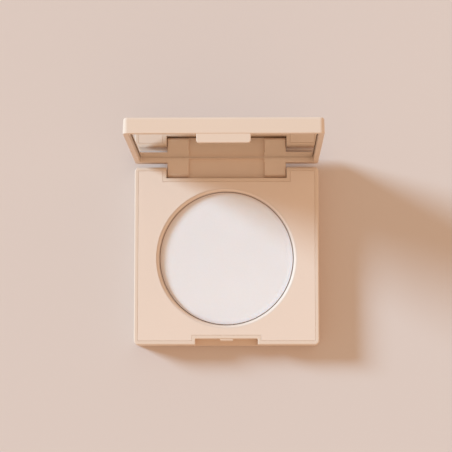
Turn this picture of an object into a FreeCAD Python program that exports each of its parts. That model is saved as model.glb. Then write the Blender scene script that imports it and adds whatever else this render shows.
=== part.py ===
import FreeCAD, Part
import math
import os

# Square pressed-powder compact with a mirror lid, standing open at a right angle.
# Millimetres. Frame: X to the right, Y from the latch (front) to the hinge (back), Z up.
# The origin is the middle of the flat bottom of the base. The lid is drawn closed on
# the base and is then turned open about the hinge axis by lid_open_angle.

# Outline shared by base and lid
width = 72.0
depth = 69.6
plan_corner_radius = 1.7
half_width = width / 2
half_depth = depth / 2
back_y = half_depth
front_y = -half_depth

# Base tray
base_height = 10.5
tray_wall = 1.5
tray_floor = 1.5
base_top_fillet = 0.5
base_bottom_fillet = 0.8
ear_back_fillet = 1.0
rim_edge_fillet = 0.25

# Parting gap and lid shell
parting_gap = 0.15
lid_height = 5.95
lid_draft = 0.2
lid_top_fillet = 0.9
lid_rim_fillet = 0.3
lid_inner_fillet = 0.25
lid_rim_width = 2.0
lid_open_angle = 90.0
rim_z = base_height + parting_gap
lid_top_z = rim_z + lid_height

# Hinge: the axis runs along X, just inside the back edge and below the parting line
axis_inset = 1.5
rim_to_axis = 3.5
axis_y = back_y - axis_inset
axis_z = rim_z - rim_to_axis
knuckle_radius = 2.6
knuckle_front = 2.25
knuckle_drop = 2.5
knuckle_width = 8.5
knuckle_edge_fillet = 0.5
web_front = 1.0
swing_clearance = 0.2
notch_half_width = 23.5
notch_side_gap = 0.2
notch_wall = 1.5
notch_y = axis_y - knuckle_radius - swing_clearance
notch_floor_z = axis_z - rim_to_axis - swing_clearance
tongue_half_width = notch_half_width - notch_side_gap

# Hinge pins, pressed in from the two sides of the base
pin_radius = 0.7
pin_chamfer = 0.2
pin_end_inset = 0.4
pin_reach = 7.8
pin_seat_clearance = 0.01
pin_running_clearance = 0.05
pin_blind_room = 0.4
pin_boss_front = 1.4
pin_boss_below = 1.6
pin_boss_above = 1.5
pin_boss_wall = 0.5

# Thumb pocket and catch at the front
pocket_half_width = 12.15
pocket_depth = 2.35
pocket_drop = 5.2
pocket_corner_radius = 0.4
pocket_wall = 1.3
pocket_shelf = 1.5
nib_half_width = 2.45
nib_reach = 0.9
nib_height = 1.5
nib_below_rim = 0.35
nib_chamfer = 0.4
nib_root = 0.2

# Thumb tab on the lid
tab_half_width = 9.7
tab_drop = 3.3
tab_thickness = 0.95
tab_set_back = 0.2
tab_corner_radius = 1.0
tab_edge_fillet = 0.25
tab_root = 1.0
bead_gap = 0.1
bead_half_width = 4.0
bead_height = 0.7
bead_below_nib = 0.1
bead_root = 0.2

# Powder pan, powder and adhesive
pan_radius = 26.0
pan_height = 4.2
pan_metal = 0.35
pan_bottom_radius = 0.9
pan_rim_fillet = 0.12
pan_below_deck = 1.2
powder_below_pan = 0.8
powder_edge_rise = 0.2
powder_edge_run = 1.6
pan_adhesive_radius = 20.0
pan_adhesive_thickness = 0.2

# Deck plate, its groove and the pan well
deck_thickness = 1.4
deck_gap = 0.03
deck_corner_radius = 0.4
groove_chamfer = 0.12
skirt_wall = 1.0
skirt_drop = 2.6
skirt_corner_radius = 0.6
skirt_post_gap = 0.5
snap_ridge_radius = 0.35
snap_ridge_room = 0.07
snap_half_length = 7.0
snap_end_room = 0.2
well_y = -1.0
pan_clearance = 0.15
well_radius = pan_radius + pan_clearance
well_mouth_width = 1.35
well_mouth_depth = 1.1
well_mouth_radius = well_radius + well_mouth_width
well_wall = 1.2
well_floor = 1.2
well_bottom_fillet = 1.0

# Tray supports
post_radius = 2.0
post_side_room = 2.0
post_front_room = 1.8
post_hinge_room = 0.5
post_x = half_width - tray_wall - post_side_room - post_radius
post_front_y = front_y + tray_wall + post_front_room + post_radius
post_back_y = notch_y - notch_wall - post_hinge_room - post_radius
spigot_radius = 0.9
spigot_height = 0.8
spigot_clearance = 0.05
support_ring_radius = 22.0
support_ring_wall = 1.2

# Mirror and its adhesive
mirror_recess = 1.56
mirror_thickness = 1.2
mirror_gap = 0.2
mirror_corner_radius = 1.0
mirror_tape_thickness = 0.2
mirror_tape_inset = 3.0

# Lightening pockets in the lid, behind the mirror
core_depth = 1.2
core_rows = 4
core_rib = 1.4
core_corner_radius = 0.8

# How near two places count as one, and how far a cut runs past the face that it opens
touch = 1e-4
overrun = 1.0

V = FreeCAD.Vector


def side_span(side, near, far):
    """The lower and upper X of a stretch on the left (-1) or right (1) side."""
    return min(side * near, side * far), max(side * near, side * far)


def box(x0, x1, y0, y1, z0, z1):
    """A box between two corners."""
    return Part.makeBox(x1 - x0, y1 - y0, z1 - z0, V(x0, y0, z0))


def disc(radius, x, y, z0, z1):
    """An upright cylinder between two heights."""
    return Part.makeCylinder(radius, z1 - z0, V(x, y, z0), V(0, 0, 1))


def rod(radius, x0, x1, y, z):
    """A cylinder along X."""
    return Part.makeCylinder(radius, x1 - x0, V(x0, y, z), V(1, 0, 0))


def edges_where(shape, test):
    """The edges whose box passes the test."""
    return [edge for edge in shape.Edges if test(edge.BoundBox)]


def is_upright(b):
    """A test for edges along Z."""
    return b.XLength < touch and b.YLength < touch


def rounded_slab(x0, x1, y0, y1, z0, z1, radius):
    """A slab with round upright corners."""
    slab = box(x0, x1, y0, y1, z0, z1)
    return slab.makeFillet(radius, edges_where(slab, is_upright))


def middle_of(edge):
    """The point half-way along an edge."""
    return edge.valueAt((edge.FirstParameter + edge.LastParameter) / 2)


def same_edges(shape, edges):
    """The shape's edges that lie where the given ones lie."""
    found = []
    for edge in edges:
        spot = Part.Vertex(middle_of(edge))
        for other in shape.Edges:
            if other.distToShape(spot)[0] < touch:
                found.append(other)
                break
    return found


def is_flat_at(z):
    """A test for edges that lie wholly at one height."""
    return lambda b: abs(b.ZMin - z) < touch and abs(b.ZMax - z) < touch


def inside_outline(inset, z0, z1):
    """The tray's inner outline, set in by a further gap, as a solid."""
    reach = tray_wall + inset
    corner = deck_corner_radius - inset
    slab = rounded_slab(
        -half_width + reach,
        half_width - reach,
        front_y + reach,
        back_y - reach,
        z0,
        z1,
        corner,
    )
    hinge_block = box(
        -notch_half_width - notch_wall - inset,
        notch_half_width + notch_wall + inset,
        notch_y - notch_wall - inset,
        back_y,
        z0,
        z1,
    )
    pocket_block = box(
        -pocket_half_width - pocket_wall - inset,
        pocket_half_width + pocket_wall + inset,
        front_y,
        front_y + pocket_depth + pocket_wall + inset,
        z0,
        z1,
    )
    return slab.cut(hinge_block).cut(pocket_block)


deck_underside_z = base_height - deck_thickness
pan_top_z = base_height - pan_below_deck
pan_bottom_z = pan_top_z - pan_height
well_floor_z = pan_bottom_z - pan_adhesive_thickness
well_underside_z = well_floor_z - well_floor
pocket_floor_z = base_height - pocket_drop
pocket_back_y = front_y + pocket_depth
post_spots = [
    (-post_x, post_back_y),
    (post_x, post_back_y),
    (-post_x, post_front_y),
    (post_x, post_front_y),
]


def make_base_tray():
    """Outer base moulding: walls, hinge notch, pin bosses, thumb pocket and catch nib."""
    tray = rounded_slab(
        -half_width, half_width, front_y, back_y, 0, base_height, plan_corner_radius
    )
    tray = tray.makeFillet(base_bottom_fillet, edges_where(tray, is_flat_at(0)))
    tray = tray.makeFillet(base_top_fillet, edges_where(tray, is_flat_at(base_height)))

    # The ears beside the notch are rounder at the back so that the lid's rim can roll past.
    roll = ear_back_fillet
    ear_trim = box(-half_width, half_width, back_y - roll, back_y, base_height - roll, base_height)
    ear_round = rod(roll, -half_width, half_width, back_y - roll, base_height - roll)
    tray = tray.cut(ear_trim.cut(ear_round))

    cavity = inside_outline(0, tray_floor, base_height)
    under_pocket = box(
        -pocket_half_width - pocket_wall,
        pocket_half_width + pocket_wall,
        front_y + tray_wall,
        pocket_back_y + pocket_wall,
        tray_floor,
        pocket_floor_z - pocket_shelf,
    )
    cavity = cavity.fuse(under_pocket)
    keep = []
    for side in (-1, 1):
        x0, x1 = side_span(side, notch_half_width, half_width - pin_boss_wall)
        keep.append(
            box(
                x0,
                x1,
                axis_y - pin_boss_front,
                back_y - pin_boss_wall,
                axis_z - pin_boss_below,
                axis_z + pin_boss_above,
            )
        )
    for x, y in post_spots:
        keep.append(disc(post_radius, x, y, tray_floor, deck_underside_z))
        keep.append(disc(spigot_radius, x, y, deck_underside_z, deck_underside_z + spigot_height))
    ring = disc(support_ring_radius, 0, well_y, tray_floor, well_underside_z)
    ring = ring.cut(
        disc(support_ring_radius - support_ring_wall, 0, well_y, tray_floor, well_underside_z)
    )
    keep.append(ring)
    for piece in keep:
        cavity = cavity.cut(piece)
    tray = tray.cut(cavity)

    notch = box(
        -notch_half_width,
        notch_half_width,
        notch_y,
        back_y + overrun,
        notch_floor_z,
        base_height + overrun,
    )
    tray = tray.cut(notch)

    pocket = box(
        -pocket_half_width,
        pocket_half_width,
        front_y - overrun,
        pocket_back_y,
        pocket_floor_z,
        base_height + overrun,
    )
    back_corners = edges_where(pocket, lambda b: is_upright(b) and b.YMin > front_y)
    pocket = pocket.makeFillet(pocket_corner_radius, back_corners)
    tray = tray.cut(pocket)

    nib = box(
        -nib_half_width,
        nib_half_width,
        pocket_back_y - nib_reach,
        pocket_back_y + nib_root,
        base_height - nib_below_rim - nib_height,
        base_height - nib_below_rim,
    )
    nose = edges_where(nib, lambda b: b.YMax < pocket_back_y and not is_upright(b))
    nib = nib.makeChamfer(nib_chamfer, nose)
    tray = tray.fuse(nib)

    for side in (-1, 1):
        x0, x1 = side_span(side, notch_half_width - overrun, half_width + overrun)
        tray = tray.cut(rod(pin_radius + pin_seat_clearance, x0, x1, axis_y, axis_z))

    for side in (-1, 1):
        ridge_room = Part.makeCylinder(
            snap_ridge_radius + snap_ridge_room,
            2 * (snap_half_length + snap_end_room),
            V(
                side * (half_width - tray_wall - deck_gap),
                -snap_half_length - snap_end_room,
                deck_underside_z - skirt_drop / 2,
            ),
            V(0, 1, 0),
        )
        tray = tray.cut(ridge_room)

    tray = tray.removeSplitter()
    groove_lip = []
    open_lip = []
    for edge in edges_where(tray, is_flat_at(base_height)):
        spot = middle_of(edge)
        inside_x = abs(spot.x) < half_width - tray_wall + touch
        inside_y = front_y + tray_wall - touch < spot.y < back_y - tray_wall + touch
        at_notch = abs(spot.x) < notch_half_width + touch and spot.y > notch_y - touch
        at_pocket = abs(spot.x) < pocket_half_width + touch and spot.y < pocket_back_y + touch
        if at_notch or at_pocket:
            open_lip.append(edge)
        elif inside_x and inside_y:
            groove_lip.append(edge)
    tray = tray.makeChamfer(groove_chamfer, groove_lip)
    return tray.makeFillet(rim_edge_fillet, same_edges(tray, open_lip))


def make_deck_plate():
    """Inner deck: flat top, groove edge, chamfered pan mouth, pan well and snap skirt."""
    plate = inside_outline(deck_gap, deck_underside_z, base_height)
    plate = plate.makeChamfer(groove_chamfer, edges_where(plate, is_flat_at(base_height)))

    skirt = rounded_slab(
        -half_width + tray_wall + deck_gap,
        half_width - tray_wall - deck_gap,
        post_front_y + post_radius + skirt_post_gap,
        post_back_y - post_radius - skirt_post_gap,
        deck_underside_z - skirt_drop,
        deck_underside_z,
        skirt_corner_radius,
    )
    middle = box(
        -half_width + tray_wall + deck_gap + skirt_wall,
        half_width - tray_wall - deck_gap - skirt_wall,
        front_y,
        back_y,
        deck_underside_z - skirt_drop,
        deck_underside_z,
    )
    skirt = skirt.cut(middle)
    plate = plate.fuse(skirt)
    for side in (-1, 1):
        ridge = Part.makeCylinder(
            snap_ridge_radius,
            2 * snap_half_length,
            V(
                side * (half_width - tray_wall - deck_gap),
                -snap_half_length,
                deck_underside_z - skirt_drop / 2,
            ),
            V(0, 1, 0),
        )
        plate = plate.fuse(ridge)

    well = disc(well_radius + well_wall, 0, well_y, well_underside_z, base_height)
    outer_bottom = edges_where(well, is_flat_at(well_underside_z))
    well = well.makeFillet(well_bottom_fillet, outer_bottom)
    plate = plate.fuse(well)
    plate = plate.cut(disc(well_radius, 0, well_y, well_floor_z, base_height + overrun))
    mouth = Part.makeCone(
        well_radius,
        well_mouth_radius,
        well_mouth_depth,
        V(0, well_y, base_height - well_mouth_depth),
        V(0, 0, 1),
    )
    plate = plate.cut(mouth)
    for x, y in post_spots:
        socket = disc(
            spigot_radius + spigot_clearance,
            x,
            y,
            deck_underside_z,
            deck_underside_z + spigot_height + spigot_clearance,
        )
        plate = plate.cut(socket)
    return plate.removeSplitter()


def make_powder_pan():
    """Pressed aluminium pan with a rounded bottom edge."""
    pan = disc(pan_radius, 0, well_y, pan_bottom_z, pan_top_z)
    pan = pan.makeFillet(pan_bottom_radius, edges_where(pan, is_flat_at(pan_bottom_z)))
    floor_z = pan_bottom_z + pan_metal
    room = disc(pan_radius - pan_metal, 0, well_y, floor_z, pan_top_z + overrun)
    inner_radius = pan_bottom_radius - pan_metal
    room = room.makeFillet(inner_radius, edges_where(room, is_flat_at(floor_z)))
    pan = pan.cut(room)
    return pan.makeFillet(pan_rim_fillet, edges_where(pan, is_flat_at(pan_top_z)))


def make_pressed_powder():
    """Powder cake in the pan: a flat face that rises in a soft curve to the pan's rim."""
    wall = pan_radius - pan_metal
    floor_z = pan_bottom_z + pan_metal
    face_z = pan_top_z - powder_below_pan
    corner = pan_bottom_radius - pan_metal
    dish = (powder_edge_run**2 + powder_edge_rise**2) / (2 * powder_edge_rise)
    half_turn = math.asin(powder_edge_run / dish) / 2
    slant = math.sqrt(0.5)

    def at(radius, z):
        return V(radius, well_y, z)

    axis_low = at(0, floor_z)
    corner_low = at(wall - corner, floor_z)
    corner_middle = at(wall - corner + corner * slant, floor_z + corner - corner * slant)
    corner_high = at(wall, floor_z + corner)
    edge_high = at(wall, face_z + powder_edge_rise)
    edge_middle = at(
        wall - powder_edge_run + dish * math.sin(half_turn),
        face_z + dish - dish * math.cos(half_turn),
    )
    edge_low = at(wall - powder_edge_run, face_z)
    axis_high = at(0, face_z)
    profile = Part.Wire(
        [
            Part.makeLine(axis_low, corner_low),
            Part.Arc(corner_low, corner_middle, corner_high).toShape(),
            Part.makeLine(corner_high, edge_high),
            Part.Arc(edge_high, edge_middle, edge_low).toShape(),
            Part.makeLine(edge_low, axis_high),
            Part.makeLine(axis_high, axis_low),
        ]
    )
    return Part.Face(profile).revolve(V(0, well_y, 0), V(0, 0, 1), 360)


def make_pan_adhesive():
    """Double-sided disc that holds the pan on the well floor."""
    return disc(pan_adhesive_radius, 0, well_y, well_floor_z, pan_bottom_z)


def make_hinge_pin(side):
    """Steel pin from the side of the base into the lid's knuckle."""
    x0, x1 = side_span(side, tongue_half_width - pin_reach, half_width - pin_end_inset)
    pin = rod(pin_radius, x0, x1, axis_y, axis_z)
    ends = edges_where(pin, lambda b: b.XLength < touch)
    return pin.makeChamfer(pin_chamfer, ends)


def tongue_piece(x0, x1, front):
    """A length of the hinge tongue, with its lower end rounded about the hinge axis."""
    upper = box(x0, x1, axis_y - front, back_y, axis_z, rim_z + mirror_recess)
    lower = box(x0, x1, axis_y - front, back_y, axis_z - knuckle_drop, axis_z)
    lower = lower.common(rod(knuckle_radius, x0, x1, axis_y, axis_z))
    return upper.fuse(lower).removeSplitter()


mirror_seat_z = rim_z + mirror_recess + mirror_thickness + mirror_tape_thickness
recess_back_y = axis_y - knuckle_front
recess_front_y = front_y + lid_rim_width
recess_half_width = half_width - lid_rim_width


def core_pockets():
    """A grid of shallow pockets that keeps the lid's skin even behind the mirror."""
    x_start = -recess_half_width + mirror_tape_inset + core_rib
    y_start = recess_front_y + mirror_tape_inset + core_rib
    x_pitch = (-2 * x_start + core_rib) / core_rows
    y_pitch = (recess_back_y - mirror_tape_inset - y_start) / core_rows
    pockets = []
    for column in range(core_rows):
        for row in range(core_rows):
            x0 = x_start + column * x_pitch
            y0 = y_start + row * y_pitch
            pocket = rounded_slab(
                x0,
                x0 + x_pitch - core_rib,
                y0,
                y0 + y_pitch - core_rib,
                mirror_seat_z,
                mirror_seat_z + core_depth,
                core_corner_radius,
            )
            pockets.append(pocket)
    return pockets


def make_lid_shell():
    """Lid moulding in its closed place: top, rim, hinge tongue and thumb tab."""
    lower = rounded_slab(
        -half_width, half_width, front_y, back_y, rim_z, lid_top_z, plan_corner_radius
    )
    upper = rounded_slab(
        -half_width + lid_draft,
        half_width - lid_draft,
        front_y + lid_draft,
        back_y - lid_draft,
        rim_z,
        lid_top_z,
        plan_corner_radius - lid_draft,
    )
    bottom_face = [f for f in lower.Faces if f.BoundBox.ZMax < rim_z + touch][0]
    top_face = [f for f in upper.Faces if f.BoundBox.ZMin > lid_top_z - touch][0]
    shell = Part.makeLoft([bottom_face.OuterWire, top_face.OuterWire], True, True)
    shell = shell.makeFillet(lid_top_fillet, edges_where(shell, is_flat_at(lid_top_z)))
    shell = shell.makeFillet(lid_rim_fillet, edges_where(shell, is_flat_at(rim_z)))

    recess = rounded_slab(
        -recess_half_width,
        recess_half_width,
        recess_front_y,
        recess_back_y,
        rim_z - overrun,
        mirror_seat_z,
        mirror_corner_radius,
    )
    shell = shell.cut(recess)
    inner_lip = []
    for edge in edges_where(shell, is_flat_at(rim_z)):
        spot = middle_of(edge)
        in_x = abs(spot.x) < recess_half_width + touch
        in_y = recess_front_y - touch < spot.y < recess_back_y + touch
        if in_x and in_y:
            inner_lip.append(edge)
    shell = shell.makeFillet(lid_inner_fillet, inner_lip)
    for pocket in core_pockets():
        shell = shell.cut(pocket)

    knuckle_inner = tongue_half_width - knuckle_width
    tongue = tongue_piece(-knuckle_inner, knuckle_inner, web_front)
    for side in (-1, 1):
        x0, x1 = side_span(side, knuckle_inner, tongue_half_width)
        knuckle = tongue_piece(x0, x1, knuckle_front)
        front_y_limit = axis_y - knuckle_front + touch
        front = edges_where(knuckle, lambda b: is_upright(b) and b.YMax < front_y_limit)
        knuckle = knuckle.makeFillet(knuckle_edge_fillet, front)
        tongue = tongue.fuse(knuckle)
    shell = shell.fuse(tongue)
    web_room = box(
        -knuckle_inner,
        knuckle_inner,
        recess_back_y - overrun,
        axis_y - web_front,
        rim_z - rim_to_axis,
        rim_z + mirror_recess,
    )
    shell = shell.cut(web_room)
    for side in (-1, 1):
        deep = tongue_half_width - pin_reach - pin_blind_room
        x0, x1 = side_span(side, deep, tongue_half_width + overrun)
        shell = shell.cut(rod(pin_radius + pin_running_clearance, x0, x1, axis_y, axis_z))

    tab_y0 = front_y + tab_set_back
    tab = box(
        -tab_half_width,
        tab_half_width,
        tab_y0,
        tab_y0 + tab_thickness,
        rim_z - tab_drop,
        rim_z + tab_root,
    )
    tips = edges_where(tab, lambda b: b.XLength < touch and b.ZLength < touch and b.ZMax < rim_z)
    tab = tab.makeFillet(tab_corner_radius, tips)
    outline = edges_where(tab, lambda b: b.YMax < tab_y0 + touch and b.ZMin < rim_z)
    tab = tab.makeFillet(tab_edge_fillet, outline)
    shell = shell.fuse(tab)

    bead_y = pocket_back_y - nib_reach - bead_gap
    bead_top = base_height - nib_below_rim - nib_height - bead_below_nib
    bead = box(
        -bead_half_width,
        bead_half_width,
        tab_y0 + tab_thickness - bead_root,
        bead_y,
        bead_top - bead_height,
        bead_top,
    )
    shell = shell.fuse(bead)
    return shell.removeSplitter()


def make_mirror():
    """Glass mirror in its closed place."""
    z0 = rim_z + mirror_recess
    return rounded_slab(
        -recess_half_width + mirror_gap,
        recess_half_width - mirror_gap,
        recess_front_y + mirror_gap,
        recess_back_y - mirror_gap,
        z0,
        z0 + mirror_thickness,
        mirror_corner_radius,
    )


def make_mirror_tape():
    """Double-sided sheet between the mirror and the lid."""
    z0 = rim_z + mirror_recess + mirror_thickness
    return rounded_slab(
        -recess_half_width + mirror_tape_inset,
        recess_half_width - mirror_tape_inset,
        recess_front_y + mirror_tape_inset,
        recess_back_y - mirror_tape_inset,
        z0,
        z0 + mirror_tape_thickness,
        mirror_corner_radius,
    )


def opened(shape):
    """The shape turned from its closed place to the open pose."""
    turned = shape.copy()
    turned.rotate(V(0, axis_y, axis_z), V(-1, 0, 0), lid_open_angle)
    return turned


nodes = {
    "base_tray": make_base_tray(),
    "deck_plate": make_deck_plate(),
    "powder_pan": make_powder_pan(),
    "pressed_powder": make_pressed_powder(),
    "pan_adhesive": make_pan_adhesive(),
    "hinge_pin_left": make_hinge_pin(-1),
    "hinge_pin_right": make_hinge_pin(1),
    "lid_shell": opened(make_lid_shell()),
    "mirror": opened(make_mirror()),
    "mirror_tape": opened(make_mirror_tape()),
}

os.makedirs("parts", exist_ok=True)
for name, shape in nodes.items():
    shape.exportStep(os.path.join("parts", name + ".step"))
    print(name, shape.ShapeType, len(shape.Solids), round(shape.Volume, 1), shape.isValid())
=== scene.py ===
import math

import bmesh
import bpy
from bpy.props import FloatProperty, FloatVectorProperty, PointerProperty
from bpy.types import NodeSocket, Operator, Panel, PropertyGroup
from mathutils import Matrix, Vector


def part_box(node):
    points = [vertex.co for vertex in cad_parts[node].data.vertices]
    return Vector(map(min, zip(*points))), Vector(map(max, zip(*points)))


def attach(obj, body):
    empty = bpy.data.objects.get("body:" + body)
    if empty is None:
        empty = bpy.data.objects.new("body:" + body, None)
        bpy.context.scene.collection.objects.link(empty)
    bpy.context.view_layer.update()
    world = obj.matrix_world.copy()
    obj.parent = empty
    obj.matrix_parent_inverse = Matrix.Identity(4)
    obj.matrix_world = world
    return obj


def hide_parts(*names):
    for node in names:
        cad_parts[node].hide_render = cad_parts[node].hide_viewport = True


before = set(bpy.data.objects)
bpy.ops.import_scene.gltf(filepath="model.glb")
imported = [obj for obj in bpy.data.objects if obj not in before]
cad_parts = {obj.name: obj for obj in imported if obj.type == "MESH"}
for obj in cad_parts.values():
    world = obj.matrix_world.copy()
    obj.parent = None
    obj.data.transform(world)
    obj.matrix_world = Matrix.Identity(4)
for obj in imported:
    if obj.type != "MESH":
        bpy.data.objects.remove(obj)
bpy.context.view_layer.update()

bl_info = {
    "name": "Powder compact",
    "version": (1, 0, 0),
    "blender": (4, 5, 0),
    "location": "View3D > Sidebar > Compact",
    "description": "Finishes and studio stage for an open powder compact with a mirror lid",
    "category": "Object",
}

# Camera, floor and room: the photograph's width and focal length are in pixels, the sensor in mm
PHOTO_PIXELS = 452
PHOTO_FOCAL = 1732.8
SENSOR_WIDTH = 36.0
CLIP_NEAR = 0.01
CLIP_FAR = 20.0
HINGE_SIDE = Vector((0.0, 1.0, 0.0))
FLOOR_SIZE = 6.0
FLOOR_ROUGHNESS = 0.9
FLOOR_SPECULAR = 0.1
FIRST_BOUNCE = 0.5

# Surfaces: frequencies are per metre, and grain sizes, depths and widths are in metres
NOISE_MIDDLE = 0.5
GRAIN_DETAIL = 3.0
GRAIN_SHARPNESS = 0.6
DRIFT_DETAIL = 2.0
FLOW_FREQUENCY = 38.0
SPECK_FREQUENCY = 1400.0
SPECK_SHARE = 0.5

PLASTIC_TONE_DRIFT = 0.045
PLASTIC_GLOSS_DRIFT = 0.12
PLASTIC_IOR = 1.49
PLASTIC_SPECULAR = 0.38
PLASTIC_GRAIN_STRENGTH = 0.3
PLASTIC_GRAIN_DEPTH = 0.00003

PAN_CLEARANCE = 0.00015
MOUTH_WIDTH = 0.00135
MOUTH_STRENGTH = 1.0
MOUTH_SWELL = 0.0014

POWDER_TONE_DRIFT = 0.06
POWDER_ROUGHNESS = 0.93
POWDER_GLOSS_DRIFT = 0.05
POWDER_SPECULAR = 0.15
POWDER_SHEEN = 0.08
POWDER_SHEEN_ROUGHNESS = 0.6
POWDER_SCATTER = 0.6
POWDER_SCATTER_TINT = (1.0, 0.8, 0.7)
POWDER_SCATTER_DEPTH = 0.0008
POWDER_GRAIN = 0.0003
POWDER_GRAIN_STRENGTH = 0.6
POWDER_GRAIN_DEPTH = 0.0001
# Width of the painted shade that darkens the powder towards the pan's wall
POWDER_EDGE_SHADE_WIDTH = 0.0016

DRAW_LINE_FREQUENCY = 9000.0
DRAW_LINE_DETAIL = 4.0
DRAW_LINE_SHARPNESS = 0.65
DRAW_LINE_STRENGTH = 0.15
DRAW_LINE_DEPTH = 0.00001
PAN_DRIFT_FREQUENCY = 120.0
PAN_ROUGHNESS = 0.38
PAN_LINE_CONTRAST = 0.22
PIN_DRIFT_FREQUENCY = 250.0
PIN_ROUGHNESS = 0.3
PIN_LINE_CONTRAST = 0.25

# Width of the outer rim left without dust, dark brown as the painted shade line of the seam
RIM_SHADE_LINE = 0.0001
RIM_FADE = 0.00007
DUST_DEPTH = 0.001
DUST_ROUGHNESS = 0.5
DUST_FREQUENCY = 5000.0
DUST_WANDER = 0.00008

ADHESIVE_COLOUR = (0.72, 0.70, 0.64, 1.0)
ADHESIVE_TONE_DRIFT = 0.12
ADHESIVE_ROUGHNESS = 0.8
ADHESIVE_GLOSS_DRIFT = 0.1
ADHESIVE_GRAIN = 0.0006
ADHESIVE_GRAIN_STRENGTH = 0.3
ADHESIVE_GRAIN_DEPTH = 0.00005

HAZE_FREQUENCY = 55.0
HAZE_DETAIL = 3.0
SILVER_TONE_DRIFT = 0.02
MIRROR_CORNER = 0.001
MIRROR_CORNER_STEPS = 8
MIRROR_MARGIN = 0.00025
MARGIN_COLOUR = (0.34, 0.25, 0.18, 1.0)
MARGIN_ROUGHNESS = 0.35


def colour_property(name, description, default):
    """A linear colour that a user may change."""
    return FloatVectorProperty(
        name=name,
        description=description,
        default=default,
        subtype="COLOR",
        size=3,
        min=0.0,
        max=1.0,
    )


class CompactFinish(PropertyGroup):
    """Colours and surface grades of the compact's own pieces."""

    # Painted shade: the deck's cream plastic made darker and warmer for the tray and lid, whose
    # recesses stand in shade
    shaded_shell_colour: colour_property(
        "Shells", "Cream plastic of the tray and the lid", (0.755, 0.575, 0.438)
    )
    # The plain cream of the case; it looks paler only beside the painted shade on the tray and
    # lid
    deck_colour: colour_property(
        "Deck", "Paler cream plastic of the deck plate", (0.80, 0.62, 0.49)
    )
    case_roughness: FloatProperty(
        name="Case roughness",
        description="Satin grade of the moulded plastic",
        default=0.5,
        min=0.05,
        max=1.0,
        subtype="FACTOR",
    )
    grain_size: FloatProperty(
        name="Mould grain",
        description="Size of the fine moulded texture",
        default=0.00018,
        min=0.00005,
        max=0.002,
        subtype="DISTANCE",
        unit="LENGTH",
        precision=5,
    )
    powder_colour: colour_property(
        "Powder", "Pale pressed powder", (0.82, 0.755, 0.71)
    )
    # Painted shade: the powder's colour near the pan's wall, darker to stand in for the wall's
    # shadow and to dull its lit slope
    powder_edge_shade_colour: colour_property(
        "Powder edge", "Denser powder along the pan's wall", (0.77, 0.675, 0.625)
    )
    # Partly real, partly painted shade: the pan's metal, darkened to brown so that its bare rim
    # draws the shaded seam round the powder
    pan_seam_shade_colour: colour_property(
        "Pan", "Lacquered aluminium of the powder pan", (0.28, 0.15, 0.10)
    )
    dust_colour: colour_property(
        "Rim dust", "Film of powder on the inner part of the pan's rim", (0.76, 0.59, 0.49)
    )
    pin_colour: colour_property(
        "Pins", "Steel of the hinge pins", (0.48, 0.47, 0.45)
    )
    silver_colour: colour_property(
        "Mirror", "Silvered face of the mirror", (0.86, 0.845, 0.82)
    )
    mirror_haze: FloatProperty(
        name="Mirror haze",
        description="Softness of what the mirror shows",
        default=0.03,
        min=0.0,
        max=0.5,
        subtype="FACTOR",
    )
    glass_thickness: FloatProperty(
        name="Mirror glass",
        description="Thickness of the mirror's glass, which sits on the back of its recess",
        default=0.0007,
        min=0.0005,
        max=0.0012,
        subtype="DISTANCE",
        unit="LENGTH",
        precision=5,
    )


class CompactStage(PropertyGroup):
    """Floor, light and camera."""

    floor_colour: colour_property(
        "Floor", "Pale matt floor under the compact", (0.68, 0.555, 0.475)
    )
    camera_distance: FloatProperty(
        name="Camera distance",
        description="From the camera to the middle of the deck",
        default=0.67525,
        min=0.2,
        max=5.0,
        subtype="DISTANCE",
        unit="LENGTH",
    )
    camera_tilt: FloatProperty(
        name="Camera tilt",
        description="Angle between the view and the deck's normal, towards the latch",
        default=math.radians(5.951),
        subtype="ANGLE",
        unit="ROTATION",
    )
    camera_yaw: FloatProperty(
        name="Camera yaw",
        description="Sideways angle of the view",
        default=math.radians(0.949),
        subtype="ANGLE",
        unit="ROTATION",
    )
    focal_widths: FloatProperty(
        name="Focal length",
        description="Focal length in picture widths",
        default=PHOTO_FOCAL / PHOTO_PIXELS,
        min=0.5,
        max=20.0,
    )
    camera_aim: FloatVectorProperty(
        name="Camera aim",
        description="Point in the middle of the picture, from the middle of the deck",
        default=(-0.000208, 0.011514, 0.0),
        size=3,
        subtype="TRANSLATION",
        unit="LENGTH",
        precision=6,
    )
    key_strength: FloatProperty(
        name="Key light",
        description="Strength of the soft key light",
        default=4.57,
        min=0.0,
        max=50.0,
    )
    sheen_strength: FloatProperty(
        name="Sheen",
        description="Strength of the key light in gloss alone, low enough not to glare",
        default=0.9,
        min=0.0,
        max=50.0,
    )
    key_colour: colour_property(
        "Key colour", "Cool tint of the key light", (0.463, 0.732, 1.0)
    )
    key_direction: FloatVectorProperty(
        name="Key direction",
        description="Direction that the key light comes from",
        default=(-1.0, 0.42, 0.522),
        size=3,
        subtype="DIRECTION",
    )
    key_spread: FloatProperty(
        name="Key spread",
        description="Angle that the key light spans, which softens its shadows",
        default=math.radians(16.0),
        min=0.0,
        max=math.pi,
        subtype="ANGLE",
        unit="ROTATION",
    )
    room_colour: colour_property(
        "Room colour", "Warm tint of the light of the room", (1.0, 0.77, 0.595)
    )
    room_strength: FloatProperty(
        name="Room light",
        description="Strength of the light of the room",
        default=0.775,
        min=0.0,
        max=5.0,
    )
    room_lift: FloatProperty(
        name="Front lift",
        description="Share by which the room light is stronger from the latch side",
        default=0.2,
        min=0.0,
        max=1.0,
        subtype="FACTOR",
    )
    room_side: FloatProperty(
        name="Right lift",
        description="Share by which the room light is stronger from the right",
        default=0.25,
        min=0.0,
        max=1.0,
        subtype="FACTOR",
    )
    backdrop_colour: colour_property(
        "Backdrop", "What is seen past the floor, and in gloss and glass", (0.69, 0.575, 0.51)
    )


# Node helpers


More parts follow.
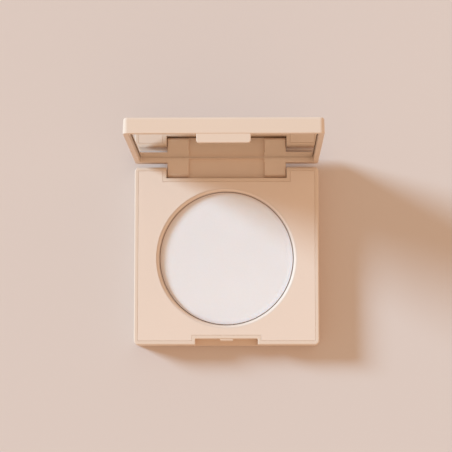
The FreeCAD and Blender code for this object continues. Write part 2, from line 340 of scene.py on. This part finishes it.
def feed(tree, value, socket):
    """Joins an output to an input, or sets the input's own value."""
    if isinstance(value, NodeSocket):
        tree.links.new(value, socket)
    else:
        socket.default_value = value


def math_node(tree, operation, *values):
    """A maths node fed by outputs or numbers; gives its output."""
    node = tree.nodes.new("ShaderNodeMath")
    node.operation = operation
    for value, socket in zip(values, node.inputs):
        feed(tree, value, socket)
    return node.outputs["Value"]


def varied(tree, middle, swing, share):
    """A value with a share of a swing or a mask added to it."""
    return math_node(tree, "ADD", math_node(tree, "MULTIPLY", swing, share), middle)


def ramp(tree, value, start, end, shape="SMOOTHSTEP"):
    """A mask that goes from 0 at one value to 1 at another."""
    node = tree.nodes.new("ShaderNodeMapRange")
    node.interpolation_type = shape
    node.inputs["From Min"].default_value = start
    node.inputs["From Max"].default_value = end
    feed(tree, value, node.inputs["Value"])
    return node.outputs["Result"]


def own_place(tree):
    """Each point's place on its piece."""
    return tree.nodes.new("ShaderNodeTexCoord").outputs["Object"]


def noise_at(tree, place, frequency, detail, sharpness=0.5):
    """A noise from 0 to 1 at a place."""
    node = tree.nodes.new("ShaderNodeTexNoise")
    feed(tree, place, node.inputs["Vector"])
    feed(tree, frequency, node.inputs["Scale"])
    feed(tree, detail, node.inputs["Detail"])
    feed(tree, sharpness, node.inputs["Roughness"])
    return node.outputs["Fac"]


def swing_of(tree, noise):
    """A noise moved so that it swings about zero."""
    return math_node(tree, "SUBTRACT", noise, NOISE_MIDDLE)


def offsets_from(tree, middle):
    """Each point's offsets from a middle, along X, Y and Z."""
    centre = tree.nodes.new("ShaderNodeVectorMath")
    centre.operation = "SUBTRACT"
    feed(tree, own_place(tree), centre.inputs[0])
    feed(tree, middle, centre.inputs[1])
    parts = tree.nodes.new("ShaderNodeSeparateXYZ")
    feed(tree, centre.outputs["Vector"], parts.inputs["Vector"])
    return parts.outputs


def length_of(tree, first, second):
    """The length of two offsets that are square to each other."""
    squares = [math_node(tree, "POWER", offset, 2.0) for offset in (first, second)]
    return math_node(tree, "SQRT", math_node(tree, "ADD", *squares))


def past(tree, offset, limit):
    """How far an offset goes past a limit on either side, and 0 within it."""
    beyond = math_node(tree, "SUBTRACT", math_node(tree, "ABSOLUTE", offset), limit)
    return math_node(tree, "MAXIMUM", beyond, 0.0)


def rgba(colour):
    """A colour with full alpha."""
    return (colour[0], colour[1], colour[2], 1.0)


def toned(tree, colour, swing, share):
    """A colour made lighter and darker by a share of a swing."""
    node = tree.nodes.new("ShaderNodeHueSaturation")
    feed(tree, varied(tree, 1.0, swing, share), node.inputs["Value"])
    feed(tree, colour, node.inputs["Color"])
    return node.outputs["Color"]


def mixed(tree, mask, first, second):
    """A mix of two colours by a mask."""
    node = tree.nodes.new("ShaderNodeMix")
    node.data_type = "RGBA"
    feed(tree, mask, node.inputs["Factor"])
    feed(tree, first, node.inputs["A"])
    feed(tree, second, node.inputs["B"])
    return node.outputs["Result"]


# Shared surfaces


def new_group(name, inputs):
    """A shader node group that makes a surface's colour, roughness and height."""
    group = bpy.data.node_groups.new(name, "ShaderNodeTree")
    outputs = (
        ("Colour", "NodeSocketColor"),
        ("Roughness", "NodeSocketFloat"),
        ("Height", "NodeSocketFloat"),
    )
    for in_out, sockets in (("INPUT", inputs), ("OUTPUT", outputs)):
        for label, kind in sockets:
            group.interface.new_socket(name=label, in_out=in_out, socket_type=kind)
    given = group.nodes.new("NodeGroupInput").outputs
    made = group.nodes.new("NodeGroupOutput").inputs
    return group, given, made


def moulded_grain_group():
    """Fine spark-eroded mould texture with slow drifts of tone and gloss."""
    name = "Moulded grain"
    if name in bpy.data.node_groups:
        return bpy.data.node_groups[name]
    group, given, made = new_group(
        name,
        (
            ("Colour", "NodeSocketColor"),
            ("Tone drift", "NodeSocketFloat"),
            ("Roughness", "NodeSocketFloat"),
            ("Gloss drift", "NodeSocketFloat"),
            ("Grain frequency", "NodeSocketFloat"),
        ),
    )
    place = own_place(group)
    grain = noise_at(group, place, given["Grain frequency"], GRAIN_DETAIL, GRAIN_SHARPNESS)
    flow = swing_of(group, noise_at(group, place, FLOW_FREQUENCY, DRIFT_DETAIL))
    speck = swing_of(group, noise_at(group, place, SPECK_FREQUENCY, DRIFT_DETAIL))
    drift = varied(group, flow, speck, SPECK_SHARE)
    tone = toned(group, given["Colour"], drift, given["Tone drift"])
    gloss = varied(group, given["Roughness"], drift, given["Gloss drift"])
    feed(group, tone, made["Colour"])
    feed(group, gloss, made["Roughness"])
    feed(group, grain, made["Height"])
    return group


def drawn_metal_group():
    """Fine drawing lines on metal, stretched along one direction of a given vector."""
    name = "Drawn metal"
    if name in bpy.data.node_groups:
        return bpy.data.node_groups[name]
    group, given, made = new_group(
        name,
        (
            ("Vector", "NodeSocketVector"),
            ("Colour", "NodeSocketColor"),
            ("Roughness", "NodeSocketFloat"),
            ("Line contrast", "NodeSocketFloat"),
        ),
    )
    lines = noise_at(group, given["Vector"], 1.0, DRAW_LINE_DETAIL, DRAW_LINE_SHARPNESS)
    swing = swing_of(group, lines)
    tone = toned(group, given["Colour"], swing, given["Line contrast"])
    gloss = varied(group, given["Roughness"], swing, given["Line contrast"])
    feed(group, tone, made["Colour"])
    feed(group, gloss, made["Roughness"])
    feed(group, lines, made["Height"])
    return group


# Material helpers


def new_material(name):
    """A material with a bare shader; gives the material, its tree and the shader."""
    material = bpy.data.materials.new(name)
    material.use_nodes = True
    tree = material.node_tree
    return material, tree, tree.nodes["Principled BSDF"]


def place_group(tree, group, **values):
    """Puts a node group into a material with its own values."""
    node = tree.nodes.new("ShaderNodeGroup")
    node.node_tree = group
    for key, value in values.items():
        feed(tree, value, node.inputs[key.replace("_", " ")])
    return node


def add_bump(tree, shader, height, strength, depth):
    """A bump from a height to the shader's normal, on top of any bump already there."""
    bump = tree.nodes.new("ShaderNodeBump")
    bump.inputs["Strength"].default_value = strength
    bump.inputs["Distance"].default_value = depth
    feed(tree, height, bump.inputs["Height"])
    normal = shader.inputs["Normal"]
    if normal.is_linked:
        feed(tree, normal.links[0].from_socket, bump.inputs["Normal"])
    feed(tree, bump.outputs["Normal"], normal)


def cover(tree, shader, surface, strength, depth):
    """Gives a shader the colour, roughness and relief of a placed group."""
    feed(tree, surface.outputs["Colour"], shader.inputs["Base Color"])
    feed(tree, surface.outputs["Roughness"], shader.inputs["Roughness"])
    add_bump(tree, shader, surface.outputs["Height"], strength, depth)


def finish_node(node, material):
    """Gives a CAD node one material."""
    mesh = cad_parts[node].data
    mesh.materials.clear()
    mesh.materials.append(material)


# Pieces


def plastic_material(name, colour, roughness, grain_size):
    """Satin cream moulding."""
    material, tree, shader = new_material(name)
    grain = place_group(
        tree,
        moulded_grain_group(),
        Colour=rgba(colour),
        Tone_drift=PLASTIC_TONE_DRIFT,
        Roughness=roughness,
        Gloss_drift=PLASTIC_GLOSS_DRIFT,
        Grain_frequency=1.0 / grain_size,
    )
    shader.inputs["IOR"].default_value = PLASTIC_IOR
    shader.inputs["Specular IOR Level"].default_value = PLASTIC_SPECULAR
    cover(tree, shader, grain, PLASTIC_GRAIN_STRENGTH, PLASTIC_GRAIN_DEPTH)
    return material


def round_mouth(material):
    """Softens the light across the chamfer round the powder, as on a rounded lip."""
    tree = material.node_tree
    low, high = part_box("powder_pan")
    offsets = offsets_from(tree, (low + high) / 2)
    across = length_of(tree, offsets["X"], offsets["Y"])
    well = (high.x - low.x) / 2 + PAN_CLEARANCE
    step = ramp(tree, across, well + MOUTH_WIDTH, well, "LINEAR")
    swell = math_node(tree, "MULTIPLY", step, math_node(tree, "SUBTRACT", 1.0, step))
    add_bump(tree, tree.nodes["Principled BSDF"], swell, MOUTH_STRENGTH, MOUTH_SWELL)


class COMPACT_OT_case(Operator):
    """Satin plastic for the tray, the deck plate and the lid"""

    bl_idname = "compact.case"
    bl_label = "Case"

    def execute(self, context):
        look = context.scene.compact_finish
        # Tray and lid take the darker painted-shade copy of the plastic; the deck keeps the
        # plain cream
        for node, label, colour in (
            ("base_tray", "Tray plastic", look.shaded_shell_colour),
            ("deck_plate", "Deck plastic", look.deck_colour),
            ("lid_shell", "Lid plastic", look.shaded_shell_colour),
        ):
            material = plastic_material(label, colour, look.case_roughness, look.grain_size)
            finish_node(node, material)
            if node == "deck_plate":
                round_mouth(material)
        return {"FINISHED"}


class COMPACT_OT_powder(Operator):
    """Pressed powder with a soft matt grain, and painted shade darkening it towards the pan's
    wall
    """

    bl_idname = "compact.powder"
    bl_label = "Powder"

    def execute(self, context):
        look = context.scene.compact_finish
        material, tree, shader = new_material("Pressed powder")
        low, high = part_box("pressed_powder")
        radius = (high.x - low.x) / 2
        offsets = offsets_from(tree, (low + high) / 2)
        across = length_of(tree, offsets["X"], offsets["Y"])
        # Mask of the painted shade, rising towards the pan's wall all round
        edge = ramp(tree, across, radius - POWDER_EDGE_SHADE_WIDTH, radius)
        grain = place_group(
            tree,
            moulded_grain_group(),
            Colour=mixed(tree, edge, rgba(look.powder_colour), rgba(look.powder_edge_shade_colour)),
            Tone_drift=POWDER_TONE_DRIFT,
            Roughness=POWDER_ROUGHNESS,
            Gloss_drift=POWDER_GLOSS_DRIFT,
            Grain_frequency=1.0 / POWDER_GRAIN,
        )
        shader.inputs["Specular IOR Level"].default_value = POWDER_SPECULAR
        shader.inputs["Sheen Weight"].default_value = POWDER_SHEEN
        shader.inputs["Sheen Roughness"].default_value = POWDER_SHEEN_ROUGHNESS
        shader.inputs["Subsurface Weight"].default_value = POWDER_SCATTER
        shader.inputs["Subsurface Radius"].default_value = POWDER_SCATTER_TINT
        shader.inputs["Subsurface Scale"].default_value = POWDER_SCATTER_DEPTH
        cover(tree, shader, grain, POWDER_GRAIN_STRENGTH, POWDER_GRAIN_DEPTH)
        finish_node("pressed_powder", material)
        return {"FINISHED"}


class COMPACT_OT_pan(Operator):
    """Aluminium for the powder pan, dark brown as painted shade of the seam round the powder,
    with powder dust on its rim
    """

    bl_idname = "compact.pan"
    bl_label = "Pan"

    def execute(self, context):
        look = context.scene.compact_finish
        material, tree, shader = new_material("Pan aluminium")
        low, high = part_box("powder_pan")
        half = (high - low) / 2
        offsets = offsets_from(tree, (low + high) / 2)
        across = length_of(tree, offsets["X"], offsets["Y"])
        rings = tree.nodes.new("ShaderNodeCombineXYZ")
        for axis, offset, frequency in (
            ("X", across, DRAW_LINE_FREQUENCY),
            ("Y", offsets["Z"], DRAW_LINE_FREQUENCY),
            ("Z", offsets["X"], PAN_DRIFT_FREQUENCY),
        ):
            feed(tree, math_node(tree, "MULTIPLY", offset, frequency), rings.inputs[axis])
        lines = place_group(
            tree,
            drawn_metal_group(),
            Vector=rings.outputs["Vector"],
            Colour=rgba(look.pan_seam_shade_colour),
            Roughness=PAN_ROUGHNESS,
            Line_contrast=PAN_LINE_CONTRAST,
        )
        patches = swing_of(tree, noise_at(tree, own_place(tree), DUST_FREQUENCY, DRIFT_DETAIL))
        reach = varied(tree, across, patches, DUST_WANDER)
        # Outside this radius the rim shows the dark pan colour: a painted shade line at the seam
        dusted = half.x - RIM_SHADE_LINE
        inner = ramp(tree, reach, dusted, dusted - RIM_FADE)
        upper = math_node(tree, "GREATER_THAN", offsets["Z"], half.z - DUST_DEPTH)
        dust = math_node(tree, "MULTIPLY", inner, upper)
        tint = mixed(tree, dust, lines.outputs["Colour"], rgba(look.dust_colour))
        matt = varied(tree, lines.outputs["Roughness"], dust, DUST_ROUGHNESS)
        feed(tree, tint, shader.inputs["Base Color"])
        feed(tree, matt, shader.inputs["Roughness"])
        feed(tree, math_node(tree, "SUBTRACT", 1.0, dust), shader.inputs["Metallic"])
        add_bump(tree, shader, lines.outputs["Height"], DRAW_LINE_STRENGTH, DRAW_LINE_DEPTH)
        finish_node("powder_pan", material)
        return {"FINISHED"}


class COMPACT_OT_pins(Operator):
    """Drawn steel for the two hinge pins"""

    bl_idname = "compact.pins"
    bl_label = "Hinge pins"

    def execute(self, context):
        look = context.scene.compact_finish
        material, tree, shader = new_material("Pin steel")
        along = tree.nodes.new("ShaderNodeMapping")
        along.inputs["Scale"].default_value = (
            PIN_DRIFT_FREQUENCY,
            DRAW_LINE_FREQUENCY,
            DRAW_LINE_FREQUENCY,
        )
        feed(tree, own_place(tree), along.inputs["Vector"])
        lines = place_group(
            tree,
            drawn_metal_group(),
            Vector=along.outputs["Vector"],
            Colour=rgba(look.pin_colour),
            Roughness=PIN_ROUGHNESS,
            Line_contrast=PIN_LINE_CONTRAST,
        )
        shader.inputs["Metallic"].default_value = 1.0
        cover(tree, shader, lines, DRAW_LINE_STRENGTH, DRAW_LINE_DEPTH)
        for node in ("hinge_pin_left", "hinge_pin_right"):
            finish_node(node, material)
        return {"FINISHED"}


def bevel(shape, edges, width, steps):
    """Takes off edges of a shape, in one flat or in steps that round them."""
    bmesh.ops.bevel(
        shape,
        geom=edges,
        offset=width,
        offset_type="OFFSET",
        affect="EDGES",
        segments=steps,
        profile=0.5,
        material=-1,
    )


def mirror_pane(low, high):
    """A pane of glass that fills a box, with round corners and a ground front edge."""
    size = high - low
    middle = (low + high) / 2
    shape = bmesh.new()
    bmesh.ops.create_cube(shape, size=1.0)
    bmesh.ops.scale(shape, vec=size, verts=shape.verts)
    bmesh.ops.translate(shape, vec=middle, verts=shape.verts)
    through = []
    for edge in shape.edges:
        first, second = (vertex.co.y for vertex in edge.verts)
        if abs(first - second) > size.y / 2:
            through.append(edge)
    bevel(shape, through, MIRROR_CORNER, MIRROR_CORNER_STEPS)
    front = []
    for edge in shape.edges:
        if all(vertex.co.y < middle.y for vertex in edge.verts):
            front.append(edge)
    bevel(shape, front, MIRROR_MARGIN, 1)
    mesh = bpy.data.meshes.new("mirror_glass")
    shape.to_mesh(mesh)
    shape.free()
    return bpy.data.objects.new("mirror_glass", mesh)


class COMPACT_OT_mirror(Operator):
    """Thin silvered glass at the back of its recess, with a narrow ground margin"""

    bl_idname = "compact.mirror"
    bl_label = "Mirror"

    def execute(self, context):
        look = context.scene.compact_finish
        material, tree, shader = new_material("Mirror silver")
        low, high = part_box("mirror")
        half = (high - low) / 2
        offsets = offsets_from(tree, (low + high) / 2)
        past_side = past(tree, offsets["X"], half.x - MIRROR_CORNER)
        past_end = past(tree, offsets["Z"], half.z - MIRROR_CORNER)
        outward = length_of(tree, past_side, past_end)
        margin = math_node(tree, "GREATER_THAN", outward, MIRROR_CORNER - MIRROR_MARGIN)
        haze = noise_at(tree, own_place(tree), HAZE_FREQUENCY, HAZE_DETAIL)
        silver = toned(
            tree, rgba(look.silver_colour), swing_of(tree, haze), SILVER_TONE_DRIFT
        )
        soft = math_node(tree, "MULTIPLY", haze, look.mirror_haze)
        ground = varied(tree, soft, margin, MARGIN_ROUGHNESS)
        feed(tree, mixed(tree, margin, silver, MARGIN_COLOUR), shader.inputs["Base Color"])
        feed(tree, ground, shader.inputs["Roughness"])
        shader.inputs["Metallic"].default_value = 1.0
        finish_node("mirror", material)
        glass = mirror_pane(Vector((low.x, high.y - look.glass_thickness, low.z)), high)
        glass.data.materials.append(material)
        context.scene.collection.objects.link(glass)
        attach(glass, "lid")
        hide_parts("mirror")
        return {"FINISHED"}


class COMPACT_OT_adhesives(Operator):
    """Off-white adhesive under the pan and behind the mirror"""

    bl_idname = "compact.adhesives"
    bl_label = "Adhesives"

    def execute(self, context):
        material, tree, shader = new_material("Adhesive sheet")
        grain = place_group(
            tree,
            moulded_grain_group(),
            Colour=ADHESIVE_COLOUR,
            Tone_drift=ADHESIVE_TONE_DRIFT,
            Roughness=ADHESIVE_ROUGHNESS,
            Gloss_drift=ADHESIVE_GLOSS_DRIFT,
            Grain_frequency=1.0 / ADHESIVE_GRAIN,
        )
        cover(tree, shader, grain, ADHESIVE_GRAIN_STRENGTH, ADHESIVE_GRAIN_DEPTH)
        for node in ("pan_adhesive", "mirror_tape"):
            finish_node(node, material)
        return {"FINISHED"}


# Stage


def aimed(location, target):
    """A rotation that points an object's -Z at a target, with the hinge side up the picture."""
    back = (location - target).normalized()
    right = HINGE_SIDE.cross(back).normalized()
    up = back.cross(right)
    return Matrix((right, up, back)).transposed().to_euler()


def add_floor(stage):
    """A plain pale matt floor under the base."""
    bpy.ops.mesh.primitive_plane_add(size=FLOOR_SIZE)
    floor = bpy.context.active_object
    floor.name = "floor"
    material, _, shader = new_material("Floor")
    shader.inputs["Base Color"].default_value = rgba(stage.floor_colour)
    shader.inputs["Roughness"].default_value = FLOOR_ROUGHNESS
    shader.inputs["Specular IOR Level"].default_value = FLOOR_SPECULAR
    floor.data.materials.append(material)


def light_room(scene, stage):
    """Warm light of a room on the object, and a pale backdrop for the eye, gloss and glass."""
    world = bpy.data.worlds.new("Room")
    world.use_nodes = True
    scene.world = world
    tree = world.node_tree
    room = tree.nodes["Background"]
    room.inputs["Color"].default_value = rgba(stage.room_colour)
    toward = tree.nodes.new("ShaderNodeTexCoord")
    parts = tree.nodes.new("ShaderNodeSeparateXYZ")
    feed(tree, toward.outputs["Generated"], parts.inputs["Vector"])
    front = varied(tree, 1.0, parts.outputs["Y"], -stage.room_lift)
    lift = varied(tree, front, parts.outputs["X"], stage.room_side)
    strength = math_node(tree, "MULTIPLY", lift, stage.room_strength)
    feed(tree, strength, room.inputs["Strength"])
    backdrop = tree.nodes.new("ShaderNodeBackground")
    backdrop.inputs["Color"].default_value = rgba(stage.backdrop_colour)
    rays = tree.nodes.new("ShaderNodeLightPath").outputs
    seen = math_node(tree, "MAXIMUM", rays["Is Camera Ray"], rays["Is Glossy Ray"])
    seen = math_node(tree, "MAXIMUM", seen, rays["Is Transmission Ray"])
    direct = math_node(tree, "LESS_THAN", rays["Diffuse Depth"], FIRST_BOUNCE)
    choice = tree.nodes.new("ShaderNodeMixShader")
    feed(tree, math_node(tree, "MULTIPLY", seen, direct), choice.inputs["Fac"])
    feed(tree, room.outputs["Background"], choice.inputs[1])
    feed(tree, backdrop.outputs["Background"], choice.inputs[2])
    feed(tree, choice.outputs["Shader"], tree.nodes["World Output"].inputs["Surface"])


def add_key_light(scene, stage):
    """One broad soft light from the left, and a weaker one that only puts a sheen on gloss."""
    for name, strength in (("key", stage.key_strength), ("sheen", stage.sheen_strength)):
        data = bpy.data.lights.new(name, "SUN")
        data.energy = strength
        data.color = stage.key_colour
        data.angle = stage.key_spread
        lamp = bpy.data.objects.new(name, data)
        lamp.location = Vector(stage.key_direction).normalized() * stage.camera_distance
        lamp.rotation_euler = aimed(lamp.location, Vector())
        lamp.visible_glossy = name == "sheen"
        lamp.visible_diffuse = name == "key"
        scene.collection.objects.link(lamp)


def add_camera(scene, stage):
    """A camera at the photograph's angle, nearly square to the deck."""
    deck_top = Vector((0.0, 0.0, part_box("deck_plate")[1].z))
    tilt, yaw = stage.camera_tilt, stage.camera_yaw
    back = Vector(
        (math.sin(yaw) * math.cos(tilt), -math.sin(tilt), math.cos(tilt) * math.cos(yaw))
    ).normalized()
    data = bpy.data.cameras.new("camera")
    data.sensor_fit = "HORIZONTAL"
    data.sensor_width = SENSOR_WIDTH
    data.lens = SENSOR_WIDTH * stage.focal_widths
    data.clip_start = CLIP_NEAR
    data.clip_end = CLIP_FAR
    camera = bpy.data.objects.new("camera", data)
    camera.location = deck_top + back * stage.camera_distance
    camera.rotation_euler = aimed(camera.location, deck_top + Vector(stage.camera_aim))
    scene.collection.objects.link(camera)
    scene.camera = camera


class COMPACT_OT_stage(Operator):
    """Pale floor, soft light and the photograph's camera"""

    bl_idname = "compact.stage"
    bl_label = "Stage"

    def execute(self, context):
        scene = context.scene
        stage = scene.compact_stage
        scene.view_settings.view_transform = "Standard"
        add_floor(stage)
        light_room(scene, stage)
        add_key_light(scene, stage)
        add_camera(scene, stage)
        return {"FINISHED"}


class COMPACT_PT_panel(Panel):
    """Lists the compact's finishes and its stage"""

    bl_idname = "COMPACT_PT_panel"
    bl_label = "Compact"
    bl_space_type = "VIEW_3D"
    bl_region_type = "UI"
    bl_category = "Compact"

    def draw(self, context):
        for group in (context.scene.compact_finish, context.scene.compact_stage):
            for key in group.__annotations__:
                self.layout.prop(group, key)
        for operator in OPERATORS:
            self.layout.operator(operator.bl_idname)


OPERATORS = (
    COMPACT_OT_case,
    COMPACT_OT_powder,
    COMPACT_OT_pan,
    COMPACT_OT_pins,
    COMPACT_OT_mirror,
    COMPACT_OT_adhesives,
    COMPACT_OT_stage,
)
CLASSES = (CompactFinish, CompactStage) + OPERATORS + (COMPACT_PT_panel,)


def register():
    """Registers the classes and hangs their settings on the scene."""
    for item in CLASSES:
        bpy.utils.register_class(item)
    bpy.types.Scene.compact_finish = PointerProperty(type=CompactFinish)
    bpy.types.Scene.compact_stage = PointerProperty(type=CompactStage)


def unregister():
    """Takes the settings and the classes away again."""
    del bpy.types.Scene.compact_stage
    del bpy.types.Scene.compact_finish
    for item in reversed(CLASSES):
        bpy.utils.unregister_class(item)


def main():
    """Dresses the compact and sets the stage."""
    register()
    bpy.ops.compact.case()
    bpy.ops.compact.powder()
    bpy.ops.compact.pan()
    bpy.ops.compact.pins()
    bpy.ops.compact.mirror()
    bpy.ops.compact.adhesives()
    bpy.ops.compact.stage()


if __name__ == "__main__":
    main()
